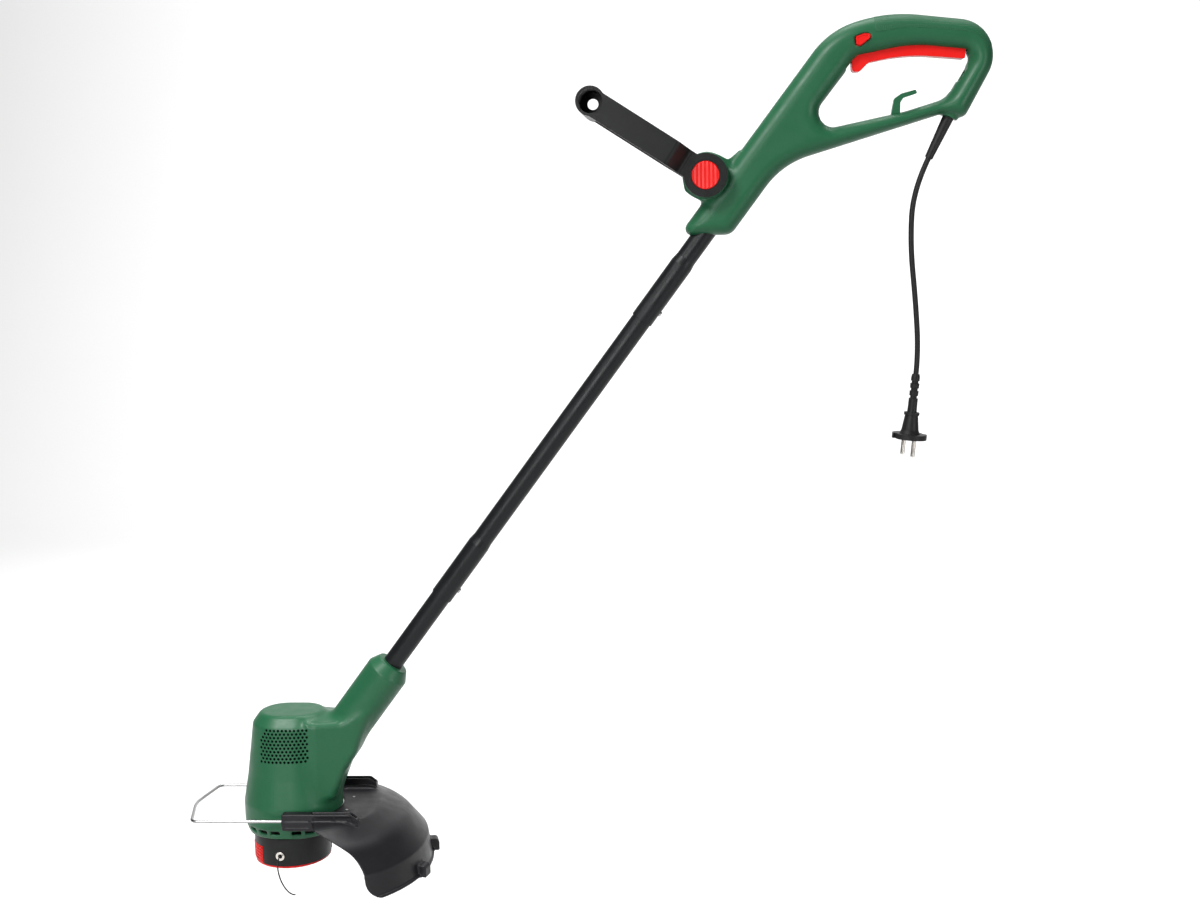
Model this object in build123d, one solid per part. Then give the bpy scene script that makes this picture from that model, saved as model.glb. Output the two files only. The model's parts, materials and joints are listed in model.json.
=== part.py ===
"""A mains-powered string trimmer: rear handle, telescoped shaft, motor head, spool, guard and front handle.

Frame: the origin is the middle of the rear grip, where the hand holds the trimmer. +X points to the user's
end, +Z is up and parallel to the spindle, and Y = 0 is the plane in which the clamshells part. "Near" pieces
are on the -Y side and "far" pieces on the +Y side. Millimetres.
"""

from build123d import *
from math import cos, pi, radians, sin, tan
import os

# ---------------------------------------------------------------- driving dimensions
shaft_angle = 53.0              # slope of the shaft above the horizontal
spindle_x = -685.0              # the spindle, in front of the grip
spool_floor_z = -889.0          # underside of the spool cover
shaft_meets_spindle = 61.0      # height above the spool floor where the two axes cross
fit_gap = 0.05                  # radial clearance of a running fit
skin = 3.0                      # wall of the moulded shells

tube_radius = 11.0
tube_wall = 1.0
socket_radius = tube_radius + tube_wall + 0.1
socket_length = 72.0
socket_taper = 8.0
lower_joint_s = 301.0           # stations along the shaft, from where it meets the spindle
upper_joint_s = 678.0
lower_tube_start_s = 120.0
upper_tube_end_s = 880.0

grip_half_width = 19.0
handle_end_z = -198.5           # the handle's lower end is cut level
pivot_x, pivot_z = -207.5, -136.3
boss_radius = 24.0
boss_half_width = 20.5
arm_length = 139.3              # pivot of the front handle to the middle of its cross grip
arm_angle = 146.8
ring_radius = 22.7
cross_grip_radius = 15.2
front_handle_half_width = 57.0
lock_button_radius = 14.6

cup_radius = 42.5
housing_base_radius = 50.0
housing_stretch = 9.0           # the housing's plan is two half circles this far apart
housing_floor = 36.0            # heights above the spool floor from here on
neck_radius = 23.0
neck_offset = -2.7              # the neck's axis lies this far under the shaft axis
neck_end_s = 205.5
guard_centre = 15.0             # the guard's axis lies this far behind the spindle
guard_rim_radius = 143.0
guard_deck_height = 62.0
guard_wall = 3.5
guard_half_angle = 50.0
wire_radius = 1.8
wire_height = 61.4
wire_half_span = 56.3

cord_diameter = 5.8

shaft_direction = Vector(cos(radians(shaft_angle)), 0, sin(radians(shaft_angle)))
shaft_normal = Vector(-shaft_direction.Z, 0, shaft_direction.X)
shaft_foot = Vector(spindle_x, 0, spool_floor_z + shaft_meets_spindle)
pivot = Vector(pivot_x, 0, pivot_z)
arm_direction = Vector(cos(radians(arm_angle)), 0, sin(radians(arm_angle)))
arm_normal = Vector(-arm_direction.Z, 0, arm_direction.X)

os.makedirs("parts", exist_ok=True)


# ---------------------------------------------------------------- helpers
def save(name, *shapes):
    """Write one node. Several shapes are kept as separate solids of the same node."""
    solids = [solid for shape in shapes for solid in shape.solids()]
    body = solids[0] if len(solids) == 1 else Compound(children=solids)
    export_step(body, f"parts/{name}.step")


def on_shaft(along, off=0.0, side=0.0):
    """A point at a station along the shaft axis, moved off it in the side plane and across it in Y."""
    return shaft_foot + shaft_direction * along + shaft_normal * off + Vector(0, side, 0)


def shaft_plane(along, off=0.0):
    """A plane square to the shaft, with its x towards +Y."""
    return Plane(origin=on_shaft(along, off), x_dir=(0, 1, 0), z_dir=shaft_direction)


def shaft_rod(radius, start, end, off=0.0):
    """A solid cylinder between two stations of the shaft."""
    return extrude(shaft_plane(start, off) * Circle(radius), amount=end - start)


def side_slab(points, radii, half_width):
    """A side-view outline with rounded corners, as thick as twice the half width and centred on Y = 0."""
    outline = FilletPolyline(*points, radius=radii, close=True)
    return extrude(Plane.XZ * make_face(outline), amount=half_width, both=True)


def cross_rod(x, z, radius, low_y, high_y):
    """A cylinder across the trimmer, between two values of Y."""
    plane = Plane(origin=(x, low_y, z), x_dir=(1, 0, 0), z_dir=(0, 1, 0))
    return extrude(plane * Circle(radius), amount=high_y - low_y)


def spindle_turned(points):
    """A body of revolution about the spindle from (radius, height above the spool floor) points."""
    profile = make_face(Polyline(*points, close=True))
    return Pos(spindle_x, 0, spool_floor_z) * revolve(Plane.XZ * profile, Axis.Z)


def spindle_ring(outer, inner, low, high):
    """A plain ring about the spindle; an inner radius of 0 makes a disc."""
    return spindle_turned([(inner, low), (outer, low), (outer, high), (inner, high)])


def at_head(x, y, height):
    """A point given from the spindle, with its height above the spool floor."""
    return Vector(spindle_x + x, y, spool_floor_z + height)


def screw(origin, direction, length, radius=1.6, head_radius=3.2, head_height=2.2):
    """A pan-head screw with a cross recess: origin is under its head, direction is where it goes in."""
    plane = Plane(origin=origin, z_dir=direction)
    shank = extrude(plane * Circle(radius), amount=length)
    head = extrude(plane * Circle(head_radius), amount=-head_height)
    top = plane.offset(-head_height)
    recess = extrude(top * Rectangle(head_radius, 0.8), amount=1.2)
    recess += extrude(top * Rectangle(0.8, head_radius), amount=1.2)
    return shank + head - recess


def coil_spring(origin, direction, radius, length, turns, wire):
    """A round-wire compression spring that starts at the origin."""
    plane = Plane(origin=origin, z_dir=direction)
    path = plane * Helix(pitch=length / turns, height=length, radius=radius)
    section = Plane(origin=path @ 0, z_dir=path % 0) * Circle(wire / 2)
    return sweep(section, path=path, is_frenet=True)


def shaft_turned(points):
    """A body of revolution about the shaft axis from (radius, station) points."""
    side = Plane(origin=shaft_foot, x_dir=shaft_normal, z_dir=shaft_normal.cross(shaft_direction))
    profile = side * make_face(Polyline(*points, close=True))
    return revolve(profile, Axis(shaft_foot, shaft_direction))


def clam_half(body, size=1200.0):
    """The near half of a simple body."""
    return body & (Pos(0, -size / 2, -size / 3) * Box(2 * size, size, 2 * size))


def both_sides(half):
    """A near half together with its mirror image."""
    return half + mirror(half, about=Plane.XZ)


# ---------------------------------------------------------------- rear handle
handle_outline = [
    (-229.0, handle_end_z),
    (-229.0, -188.5),
    (-78.3, 8.6),
    (-19.5, 25.6),
    (111.2, 9.5),
    (61.0, -83.6),
    (36.0, -79.4),
    (-126.6, -126.6),
    (-180.9, handle_end_z),
]
handle_corner_radii = [7.0, 8.0, 83.0, 160.0, 37.5, 8.0, 6.0, 85.0, 14.0]
opening_outline = [
    (-50.0, -19.5),
    (6.0, -9.6),
    (70.1, -17.2),
    (43.0, -62.9),
    (0.0, -75.4),
    (-110.2, -96.8),
]
opening_corner_radii = [12.0, 150.0, 8.0, 27.0, 120.0, 15.0]
handle_edge_round = 6.5
pad_depth = 1.5
pad_outline = [(-34.0, 40.0), (-33.0, 3.0), (2.0, 8.0), (66.0, 1.0), (84.0, -14.0), (110.0, 10.0)]
pad_corner_radii = [0, 4.0, 90.0, 30.0, 2.0, 0]

boss_bore = 6.0                 # room for the button spring
button_pocket = (15.2, 10.0)    # radius, and how close to the middle plane it reaches
collar_pocket = (18.0, 15.5)

trigger_pivot = (60.0, -4.0)
trigger_half_width = 8.0
trigger_pin_radius = 2.0
trigger_outline = [
    (-56.0, -12.0),
    (-55.0, -34.5),
    (-47.0, -34.0),
    (-38.0, -25.2),
    (0.0, -18.2),
    (60.5, -24.0),
    (61.0, -6.0),
    (8.0, -4.5),
]
trigger_corner_radii = [2.0, 3.4, 3.0, 8.0, 180.0, 2.0, 2.0, 60.0]
trigger_slot = (-60.5, 62.5, -44.0, -3.0)

lock_outline = [(-52.6, -0.2), (-43.9, 2.7), (-38.0, 2.2), (-38.0, -1.8), (-47.3, -8.9), (-51.9, -8.0)]
lock_corner_radius = 1.4
lock_proud = 2.2
window_gap = 0.3

switch_box = (6.0, 34.0, 3.0, 14.5)
plunger_x = 19.0
plunger_radius = 2.2
trigger_spring_x = -28.0

cord_exit = Vector(46.5, 0, -79.5)
sleeve_end = Vector(25.4, 0, -123.4)
sleeve_direction = (sleeve_end - cord_exit).normalized()
gland_radius = 9.0
gland_inside = 12.0
gland_lip = 2.0
sleeve_root_radius = 6.0
sleeve_tip_radius = 4.2

handle_screw_places = [
    tuple(on_shaft(station, -16.8))[0::2] for station in (805.0, 872.0)
] + [(-100.0, -32.0), (-104.0, -106.0), (-66.0, 3.0), (69.0, -6.0), (-52.0, -95.0), (57.0, -65.0)]
screw_boss_radius = 4.0
screw_radius = 1.6
screw_head_radius = 3.3
screw_head_y = 11.0


def handle_face(inset):
    """The handle's side view, drawn in by the inset all round."""
    outline = make_face(FilletPolyline(*handle_outline, radius=handle_corner_radii, close=True))
    opening = make_face(FilletPolyline(*opening_outline, radius=opening_corner_radii, close=True))
    face = outline - opening
    if inset:
        face = offset(face, amount=-inset, kind=Kind.INTERSECTION)
    return Plane.XZ * face


def handle_block(inset, edge_round):
    """The near half of the handle's bar, drawn in by the inset on every outer side."""
    half_width = grip_half_width - inset
    body = extrude(handle_face(inset), amount=half_width)
    if edge_round:
        rims = [edge for edge in body.edges() if abs(edge.center().Y + half_width) < 1e-4]
        body = fillet(rims, edge_round)
    return body


def near_slab(points, radii, half_width):
    """The near half of a side-view outline."""
    outline = FilletPolyline(*points, radius=radii, close=True)
    return extrude(Plane.XZ * make_face(outline), amount=half_width)


def gland_rod(radius, inside, outside):
    """A cylinder along the cord's way out of the handle."""
    plane = Plane(origin=cord_exit - sleeve_direction * inside, z_dir=sleeve_direction)
    return extrude(plane * Circle(radius), amount=inside + outside)


def pivot_cut():
    """The near half of the stepped hole across the boss: spring bore, button pocket and collar pocket."""
    cut = cross_rod(pivot_x, pivot_z, boss_bore, -boss_half_width - 1, 1)
    for radius, inner in (button_pocket, collar_pocket):
        cut += cross_rod(pivot_x, pivot_z, radius, -boss_half_width - 1, -inner)
    return cut


def trigger_slot_cut():
    low_x, high_x, low_z, high_z = trigger_slot
    middle = Pos((low_x + high_x) / 2, 0, (low_z + high_z) / 2)
    return middle * Box(high_x - low_x, 2 * (trigger_half_width + window_gap), high_z - low_z)


def lock_body(grow, low_y, high_y):
    """The lock-off button's outline as a bar between two values of Y."""
    face = make_face(FilletPolyline(*lock_outline, radius=lock_corner_radius, close=True))
    if grow:
        face = offset(face, amount=grow)
    return Pos(0, high_y, 0) * extrude(Plane.XZ * face, amount=high_y - low_y)


def slice_across_shaft(body, station, thickness):
    """The part of a body that lies in a slice square to the shaft."""
    return body & extrude(shaft_plane(station) * Rectangle(70, 70), amount=thickness)


def handle_half():
    """The near shell half with all that both halves share."""
    web_outline = [(-228, -152), (-205, -112), (-165, -112), (-150, -135), (-190, -170)]
    web = near_slab(web_outline, [0, 5, 6, 0, 0], 9.0)
    gland = clam_half(gland_rod(gland_radius, gland_inside, gland_lip))
    boss = cross_rod(pivot_x, pivot_z, boss_radius, -boss_half_width, 0)
    solid = handle_block(0, handle_edge_round) + boss + web + gland
    hollow = handle_block(skin, 0)
    inner_y = skin - grip_half_width
    ribs = [slice_across_shaft(hollow, station, skin) for station in (800.0, 845.0, 890.0)]
    ribs += [cross_rod(x, z, screw_boss_radius, inner_y, 0) & hollow for x, z in handle_screw_places]
    ribs.append(cross_rod(*trigger_pivot, 4.5, inner_y, -trigger_half_width - 0.5))
    ribs.append(cross_rod(pivot_x, pivot_z, boss_radius, inner_y, 0) & hollow)
    ribs.append(gland)
    for rib in ribs:
        hollow -= rib
    shell = solid - hollow
    shell -= pivot_cut()
    shell -= trigger_slot_cut()
    shell -= shaft_rod(tube_radius + fit_gap, 770, 902)
    shell -= gland_rod(4.0, gland_inside + 5, gland_lip + 1)
    sleeve_mouth = Plane(origin=cord_exit + sleeve_direction * gland_lip, z_dir=sleeve_direction)
    shell -= extrude(sleeve_mouth * Circle(sleeve_root_radius + 0.1), amount=12)
    for x, z in handle_screw_places:
        shell -= cross_rod(x, z, screw_radius, -13, 1)
    return shell


def pad_zone():
    """The near half of the recess for the soft pad."""
    zone = near_slab(pad_outline, pad_corner_radii, grip_half_width + 1)
    return zone - handle_block(pad_depth, handle_edge_round - pad_depth)


def handle_shells():
    """The two clamshell halves and the soft pad let into the top of the grip."""
    zone = pad_zone()
    pin_hole = cross_rod(*trigger_pivot, trigger_pin_radius, -14, 1)
    half = handle_half() - zone - pin_hole
    near = half - lock_body(window_gap, -grip_half_width - 1, skin - grip_half_width + 1)
    far = mirror(half, about=Plane.XZ)
    for x, z in handle_screw_places:
        far -= cross_rod(x, z, screw_head_radius, screw_head_y, grip_half_width + 1)
    half_pad = handle_block(0, handle_edge_round) & zone
    return near, far, both_sides(half_pad)


def handle_insides():
    """Trigger, lock-off button, switch, springs, pin, capacitor and the cord hook."""
    trigger_face = FilletPolyline(*trigger_outline, radius=trigger_corner_radii, close=True)
    trigger = extrude(Plane.XZ * make_face(trigger_face), amount=trigger_half_width, both=True)
    trigger += cross_rod(*trigger_pivot, 5.0, -trigger_half_width, trigger_half_width)
    trigger -= cross_rod(*trigger_pivot, trigger_pin_radius + fit_gap, -12, 12)
    save("trigger", trigger)
    save("trigger_pin", cross_rod(*trigger_pivot, trigger_pin_radius, -13.9, 13.9))
    spring_foot = Vector(trigger_spring_x, 0, -7.8)
    save("trigger_spring", coil_spring(spring_foot, (0, 0, 1), 3.2, 25.4, 9, 0.8))

    button = lock_body(0, -grip_half_width - lock_proud, skin - grip_half_width)
    button += lock_body(1.6, skin - grip_half_width + 0.3, skin - grip_half_width + 2.3)
    button += cross_rod(-45.0, -1.5, 2.5, skin - grip_half_width, 2.0)
    button = button - lock_body(-1.6, -grip_half_width - lock_proud - 1, -grip_half_width - lock_proud + 0.4)
    save("lock_off_button", button)
    save("lock_off_spring", coil_spring((-45.0, 2.6, -1.5), (0, 1, 0), 2.2, 12.0, 6, 0.6))

    low_x, high_x, low_z, high_z = switch_box
    middle = Pos((low_x + high_x) / 2, 0, (low_z + high_z) / 2)
    switch = fillet((middle * Box(high_x - low_x, 16.0, high_z - low_z)).edges(), 0.8)
    switch -= Pos(plunger_x, 0, 5.0) * Cylinder(plunger_radius + fit_gap, 16.0)
    save("switch_body", switch)
    save("switch_plunger", Pos(plunger_x, 0, 1.6) * Cylinder(plunger_radius, 12.0))
    capacitor = Plane(origin=on_shaft(938, -1), x_dir=shaft_direction, z_dir=shaft_normal) * Box(24, 15, 9)
    save("suppression_capacitor", fillet(capacitor.edges(), 1.0))

    hook = [(-15, -84), (-11, -62), (-3.6, -57), (11.0, -53.4)]
    hook += [(12.7, -57.2), (-1.5, -61.5), (-4.6, -66), (-5, -84)]
    arm = side_slab(hook, [0, 5.0, 4.0, 1.2, 1.2, 2.5, 2.0, 0], 3.5)
    save("cord_hook", arm - both_sides(handle_block(0, 0)))


def handle_screws():
    save("handle_screws", *[screw((x, screw_head_y, z), (0, -1, 0), 21.0) for x, z in handle_screw_places])


# ---------------------------------------------------------------- cord and plug
first_cord_run = 36.0           # straight on from the sleeve
cord_route = [
    (sleeve_end.X, sleeve_end.Z),
    (sleeve_end.X + sleeve_direction.X * first_cord_run, sleeve_end.Z + sleeve_direction.Z * first_cord_run),
    (7.2, -212.0),
    (13.4, -272.0),
    (16.8, -325.7),
    (14.5, -349.6),
]
plug_tilt = 5.5                 # the plug hangs this far off upright
plug_length = 67.0              # cord end to the flange's middle
flange_radius = 18.5
flange_thickness = 5.5
pin_radius = 2.4
pin_shank_radius = 2.0          # inside the flange
pin_length = 19.0
pin_spacing = 19.0
pin_turn = -26.6                # the row of pins against the side plane

plug_top = Vector(cord_route[-1][0], 0, cord_route[-1][1])
plug_down = Vector(-sin(radians(plug_tilt)), 0, -cos(radians(plug_tilt)))


def cord_radii():
    """Each bend's radius, from its shorter run and its turn."""
    radii = []
    for before, here, after in zip(cord_route, cord_route[1:], cord_route[2:]):
        first = Vector(here[0] - before[0], here[1] - before[1])
        second = Vector(after[0] - here[0], after[1] - here[1])
        turn = radians(first.get_angle(second))
        radii.append(0.45 * min(first.length, second.length) / tan(turn / 2))
    return radii


def cord_parts():
    """The tapered cord sleeve, the hanging cord, and the plug with its two pins."""
    grip_end = cord_exit + sleeve_direction * gland_lip
    length = (sleeve_end - grip_end).length
    root = Plane(origin=grip_end, z_dir=sleeve_direction) * Pos(0, 0, length / 2)
    sleeve = root * Cone(sleeve_root_radius, sleeve_tip_radius, length)
    anchor = gland_rod(3.9, gland_inside + 3, gland_lip)
    save("cord_sleeve", sleeve + anchor)

    radii = cord_radii()
    print("cord bend radii", [round(radius) for radius in radii])
    path = Plane.XZ * FilletPolyline(*cord_route, radius=radii)
    cord = sweep(Plane(origin=path @ 0, z_dir=path % 0) * Circle(cord_diameter / 2), path=path)
    section = pi * (cord_diameter / 2) ** 2
    print("cord length", round(path.length, 1))
    print("its volume over section times length", round(cord.volume / path.length / section, 3))
    save("cord", cord)

    down = Plane(origin=plug_top, x_dir=(0, 1, 0), z_dir=plug_down)
    profile = [(0, 0), (4.0, 0), (4.6, 3)]
    for ring in range(3):
        start = 7.0 + 8.0 * ring
        profile += [(4.7, start), (3.6, start + 0.4), (3.6, start + 2.6), (4.9, start + 3.0)]
    neck_end = plug_length - 26.0
    body_end = plug_length - flange_thickness / 2
    profile += [(5.0, neck_end - 4), (5.2, neck_end), (8.2, neck_end)]
    profile += [(8.2, neck_end + 3), (7.0, neck_end + 3)]
    profile += [(9.2, body_end - 4), (11.0, body_end), (0, body_end)]
    half = Plane(origin=plug_top, x_dir=(0, 1, 0), z_dir=Vector(0, 1, 0).cross(plug_down))
    plug = revolve(half * make_face(Polyline(*profile, close=True)), Axis(plug_top, plug_down))
    flange = down.offset(body_end) * Rot(0, 0, pin_turn) * Circle(flange_radius)
    for side in (-1, 1):
        place = Rot(0, 0, pin_turn) * Pos(0, side * (flange_radius + 1.0))
        flange -= down.offset(body_end) * place * Rectangle(7.0, 6.0)
    plug += extrude(flange, amount=flange_thickness)
    pins = []
    for side in (-1, 1):
        seat = down.offset(body_end) * Rot(0, 0, pin_turn) * Pos(side * pin_spacing / 2, 0)
        shank = extrude(seat * Circle(pin_shank_radius), amount=flange_thickness)
        pin = extrude(seat * Pos(0, 0, flange_thickness) * Circle(pin_radius), amount=pin_length)
        tip = pin.faces().sort_by(Axis(plug_top, plug_down))[-1]
        pins.append(fillet(tip.edges(), 1.6) + shank)
        plug -= shank
    save("plug_body", plug)
    save("plug_pins", *pins)


# ---------------------------------------------------------------- front handle
arm_inner_y = 44.0
neck_outer_y = 33.0
neck_inner_y = 22.0
arm_depth = 27.0
neck_reach = (26.0, 40.0)       # the arm steps outwards between these distances from the pivot
recess_radius = 12.4
recess_web = 6.0
hanging_hole_radius = 5.8
collar_radius = collar_pocket[0] - 0.08


def on_arm(out, across=0.0):
    """A point in the side plane, out along the front handle's arm and across it."""
    return pivot + arm_direction * out + arm_normal * across


def front_handle_half():
    """The near arm with its pivot ring, and the near half of the cross grip."""
    start, end = neck_reach
    reach = arm_length + 2.0
    plan = [(10, neck_inner_y), (start + 6, neck_inner_y), (end + 6, arm_inner_y), (reach, arm_inner_y)]
    plan += [(reach, front_handle_half_width), (end, front_handle_half_width)]
    plan += [(start, neck_outer_y), (10, neck_outer_y)]
    top = Plane(origin=pivot, x_dir=arm_direction, z_dir=arm_normal)
    outline = FilletPolyline(*[(out, -y) for out, y in plan], radius=[0, 5, 5, 0, 0, 5, 4, 0], close=True)
    arm = extrude(top * make_face(outline), amount=arm_depth / 2, both=True)
    grip = on_arm(arm_length)
    half = arm + cross_rod(pivot_x, pivot_z, ring_radius, -neck_outer_y, -neck_inner_y + 0.8)
    half += cross_rod(pivot_x, pivot_z, collar_radius, -neck_inner_y, -collar_pocket[1] - 0.3)
    half += cross_rod(grip.X, grip.Z, cross_grip_radius, -front_handle_half_width, 0)
    half -= cross_rod(grip.X, grip.Z, recess_radius, -front_handle_half_width - 1, -recess_web / 2)
    half -= cross_rod(grip.X, grip.Z, hanging_hole_radius, -recess_web, 1)
    half -= cross_rod(pivot_x, pivot_z, lock_button_radius + window_gap, -neck_outer_y - 1, -10)
    return half


def front_handle():
    half = front_handle_half()
    save("front_handle", both_sides(half))
    for name, side in (("front_lock_button_near", -1), ("front_lock_button_far", 1)):
        low, high = sorted((side * (neck_outer_y + 0.3), side * 18.0))
        button = cross_rod(pivot_x, pivot_z, lock_button_radius, low, high)
        outer_face = button.faces().sort_by(Axis.Y)[0 if side < 0 else -1]
        button = fillet(outer_face.edges(), 1.2)
        low, high = sorted((side * 18.0, side * 12.0))
        save(name, button + cross_rod(pivot_x, pivot_z, boss_bore - 0.2, low, high))
    save("front_lock_spring", coil_spring((pivot_x, -11.4, pivot_z), (0, 1, 0), 4.0, 22.8, 9, 1.0))


# ---------------------------------------------------------------- shaft
snap_radius = 3.0
snap_set_back = 16.5            # socket edge to the middle of the snap button
snap_proud = 1.7
leaf_off = -5.2


def socket_tube(start, end):
    """A tube whose lower end is widened into a socket for the tube below it."""
    bore = tube_radius - tube_wall
    socket_end = start + socket_length
    taper_end = socket_end + socket_taper
    outer = [(socket_radius, start), (socket_radius, socket_end)]
    outer += [(tube_radius, taper_end), (tube_radius, end)]
    wide = tube_radius + fit_gap
    inner = [(bore, end), (bore, taper_end), (wide, socket_end), (wide, start)]
    return shaft_turned(outer + inner)


def snap_hole(joint):
    place = Plane(origin=on_shaft(joint + snap_set_back), z_dir=-shaft_normal)
    return extrude(place * Circle(snap_radius + fit_gap), amount=socket_radius + 3)


def shaft_parts():
    """Three tubes with two socket joints, their snap buttons with leaf springs, and the cable inside."""
    upper = socket_tube(upper_joint_s, upper_tube_end_s) - snap_hole(upper_joint_s)
    middle_end = upper_joint_s + socket_length - 3
    middle = socket_tube(lower_joint_s, middle_end) - snap_hole(lower_joint_s) - snap_hole(upper_joint_s)
    lower_end = lower_joint_s + socket_length - 3
    lower = shaft_rod(tube_radius, lower_tube_start_s, lower_end)
    lower -= shaft_rod(tube_radius - tube_wall, lower_tube_start_s - 1, lower_end + 1)
    save("upper_tube", upper)
    save("middle_tube", middle)
    save("lower_tube", lower - snap_hole(lower_joint_s))
    leaves = []
    for name, joint in (("upper_snap_button", upper_joint_s), ("lower_snap_button", lower_joint_s)):
        place = Plane(origin=on_shaft(joint + snap_set_back, -9.0), z_dir=-shaft_normal)
        button = extrude(place * Circle(snap_radius), amount=socket_radius + snap_proud - 9.0)
        tip = button.faces().sort_by(Axis(on_shaft(joint), -shaft_normal))[-1]
        save(name, fillet(tip.edges(), 1.4))
        middle = on_shaft(joint + snap_set_back, leaf_off)
        strip = Plane(origin=middle, x_dir=shaft_direction, z_dir=shaft_normal)
        leaf = strip * Box(44, 7, 0.8)
        for end in (-20.0, 20.0):
            leaf += strip * Pos(end, 0, -1.9) * Box(3.0, 5.0, 3.4)
        leaves.append(leaf)
    save("snap_leaf_springs", *leaves)
    save("inner_cable", shaft_rod(3.0, lower_tube_start_s + 4, upper_tube_end_s + 30))


# ---------------------------------------------------------------- motor head
housing_outline = [(0, 172), (26, 172), (36, 160), (44, 100), (50, 70), (50, 48), (46, 36), (0, 36)]
housing_radii = [9.0, 14.0, 60.0, 14.0, 4.0, 1.0]
neck_start_s = 40.0
neck_taper = 11.5
neck_mouth_radius = 17.5
cheek_start, cheek_end = (45.0, 64.0), (150.0, 46.0)     # station, width
floor_hole = 14.0
slot_count = 20
slot_width, slot_height, slot_level = 10.5, 4.5, 44.0
ledge = (50.0, 74.0, 26.0, 50.0, 58.3)      # x from, x to, half width, height from, height to
motor_radius = 28.0
motor_low, motor_high = 78.0, 140.0
motor_shaft_radius = 4.0
bearing_radius = 9.0
head_screw_y = 9.0
head_screw_places = [(-43.5, 64.0), (50.5, 66.0), (-17.0, 157.0), (27.0, 158.0)]
for off in (14.5, -19.5):
    neck_screw = on_shaft(170.0, off) - at_head(0, 0, 0)
    head_screw_places.append((neck_screw.X, neck_screw.Z))
guard_screw_places = [(68.0, -20.0), (68.0, 20.0)]


def housing_half_face(inset):
    """Half of the motor housing's section, drawn in by the inset."""
    line = FilletPolyline(*housing_outline, radius=housing_radii)
    half = make_face(line + Line(housing_outline[-1], housing_outline[0]))
    if not inset:
        return half
    whole = offset(half + mirror(half, about=Plane.YZ), amount=-inset, kind=Kind.INTERSECTION)
    return whole & (Pos(150, 0) * Rectangle(300, 900))


def dome_half(inset):
    """The near half of the motor dome: a turned body stretched along X."""
    face = housing_half_face(inset)
    turned = revolve(Plane.XZ * face, Axis.Z, -180)
    section = Plane(origin=(housing_stretch, 0, 0), x_dir=(0, -1, 0), z_dir=(-1, 0, 0)) * face
    stretched = turned + Pos(housing_stretch, 0, 0) * turned + extrude(section, amount=housing_stretch)
    return Pos(spindle_x, 0, spool_floor_z) * stretched


def neck_half(inset):
    """The near half of the neck around the shaft, with the cheeks that spread into the dome."""
    radius = neck_radius - inset
    end = neck_end_s - neck_taper
    if inset:
        neck = shaft_rod(radius, neck_start_s, end - inset, neck_offset)
    else:
        tip = loft([
            shaft_plane(end, neck_offset) * Circle(radius),
            shaft_plane(neck_end_s, neck_offset / 2) * Circle(neck_mouth_radius),
        ])
        neck = shaft_rod(radius, neck_start_s, end, neck_offset) + tip
    sections = []
    for station, width in (cheek_start, cheek_end):
        size = (width - 2 * inset, 2 * radius)
        sections.append(shaft_plane(station, neck_offset) * RectangleRounded(*size, min(size) / 2 - 0.5))
    return clam_half(neck) + clam_half(loft(sections))


def near_box(low_x, high_x, half_width, low, high):
    """The near half of a block on the head, between two heights above the spool floor."""
    middle = at_head((low_x + high_x) / 2, -half_width / 2, (low + high) / 2)
    return Pos(*middle) * Box(high_x - low_x, half_width, high - low)


def head_cuts():
    """The floor's hole and the row of air slots round the housing's lower edge."""
    cuts = spindle_ring(floor_hole, 0, housing_floor - 1, housing_floor + skin + 1)
    step = 360 / slot_count
    for number in range(slot_count // 2):
        angle = 180 + step * (number + 0.5)
        shift = housing_stretch if cos(radians(angle)) > 0 else 0
        place = Pos(spindle_x + shift, 0, spool_floor_z + slot_level) * Rot(0, 0, angle)
        cuts += place * Pos(housing_base_radius - 2, 0, 0) * Box(12, slot_width, slot_height)
    return cuts


def head_half():
    """The near half of the motor housing with what both halves share."""
    hollow = dome_half(skin) + neck_half(skin)
    solid = dome_half(0) + neck_half(0) + near_box(*ledge)
    ribs = []
    for low in (motor_low + 6, motor_high - 10):
        slab = near_box(-60, 70, 60, low, low + skin)
        motor_room = spindle_ring(motor_radius + fit_gap, 0, low - 1, low + skin + 1)
        ribs.append((dome_half(skin) & slab) - motor_room)
    for station in (150.0, 180.0):
        ribs.append(clam_half(shaft_rod(neck_radius - skin, station, station + skin, neck_offset)))
    for x, height in head_screw_places:
        boss = cross_rod(spindle_x + x, spool_floor_z + height, screw_boss_radius, -60, 0)
        ribs.append(boss & hollow)
    for rib in ribs:
        hollow -= rib
    shell = solid - hollow - head_cuts()
    shell -= shaft_rod(tube_radius + fit_gap, lower_tube_start_s - 1, neck_end_s + 5)
    for x, height in head_screw_places:
        shell -= cross_rod(spindle_x + x, spool_floor_z + height, screw_radius, -head_screw_y - 3, 1)
    for x, y in guard_screw_places:
        shell -= Pos(*at_head(x, y, ledge[3])) * Cylinder(screw_radius, 24)
    return shell


def motor_head():
    """The two housing halves and the screws that hold them."""
    near = head_half()
    far = mirror(near, about=Plane.XZ)
    for x, height in head_screw_places:
        far -= cross_rod(spindle_x + x, spool_floor_z + height, screw_head_radius, head_screw_y, 60)
    save("motor_housing_near", near)
    save("motor_housing_far", far)
    places = [at_head(x, head_screw_y, height) for x, height in head_screw_places]
    save("head_screws", *[screw(place, (0, -1, 0), 19.5) for place in places])


# ---------------------------------------------------------------- motor
def round_head(piece, angle):
    """A piece drawn from the spindle outwards along X, turned about the spindle."""
    return Pos(spindle_x, 0, spool_floor_z) * Rot(0, 0, angle) * piece


def sector(radius, angle, spread):
    """A wedge about the spindle, as wide as twice the spread, for cutting rings."""
    reach = radius / cos(radians(spread))
    corners = [(0, 0)] + [(reach * cos(radians(a)), reach * sin(radians(a))) for a in (-spread, spread)]
    return Rot(0, 0, angle) * Polyline(*corners, close=True)


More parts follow.
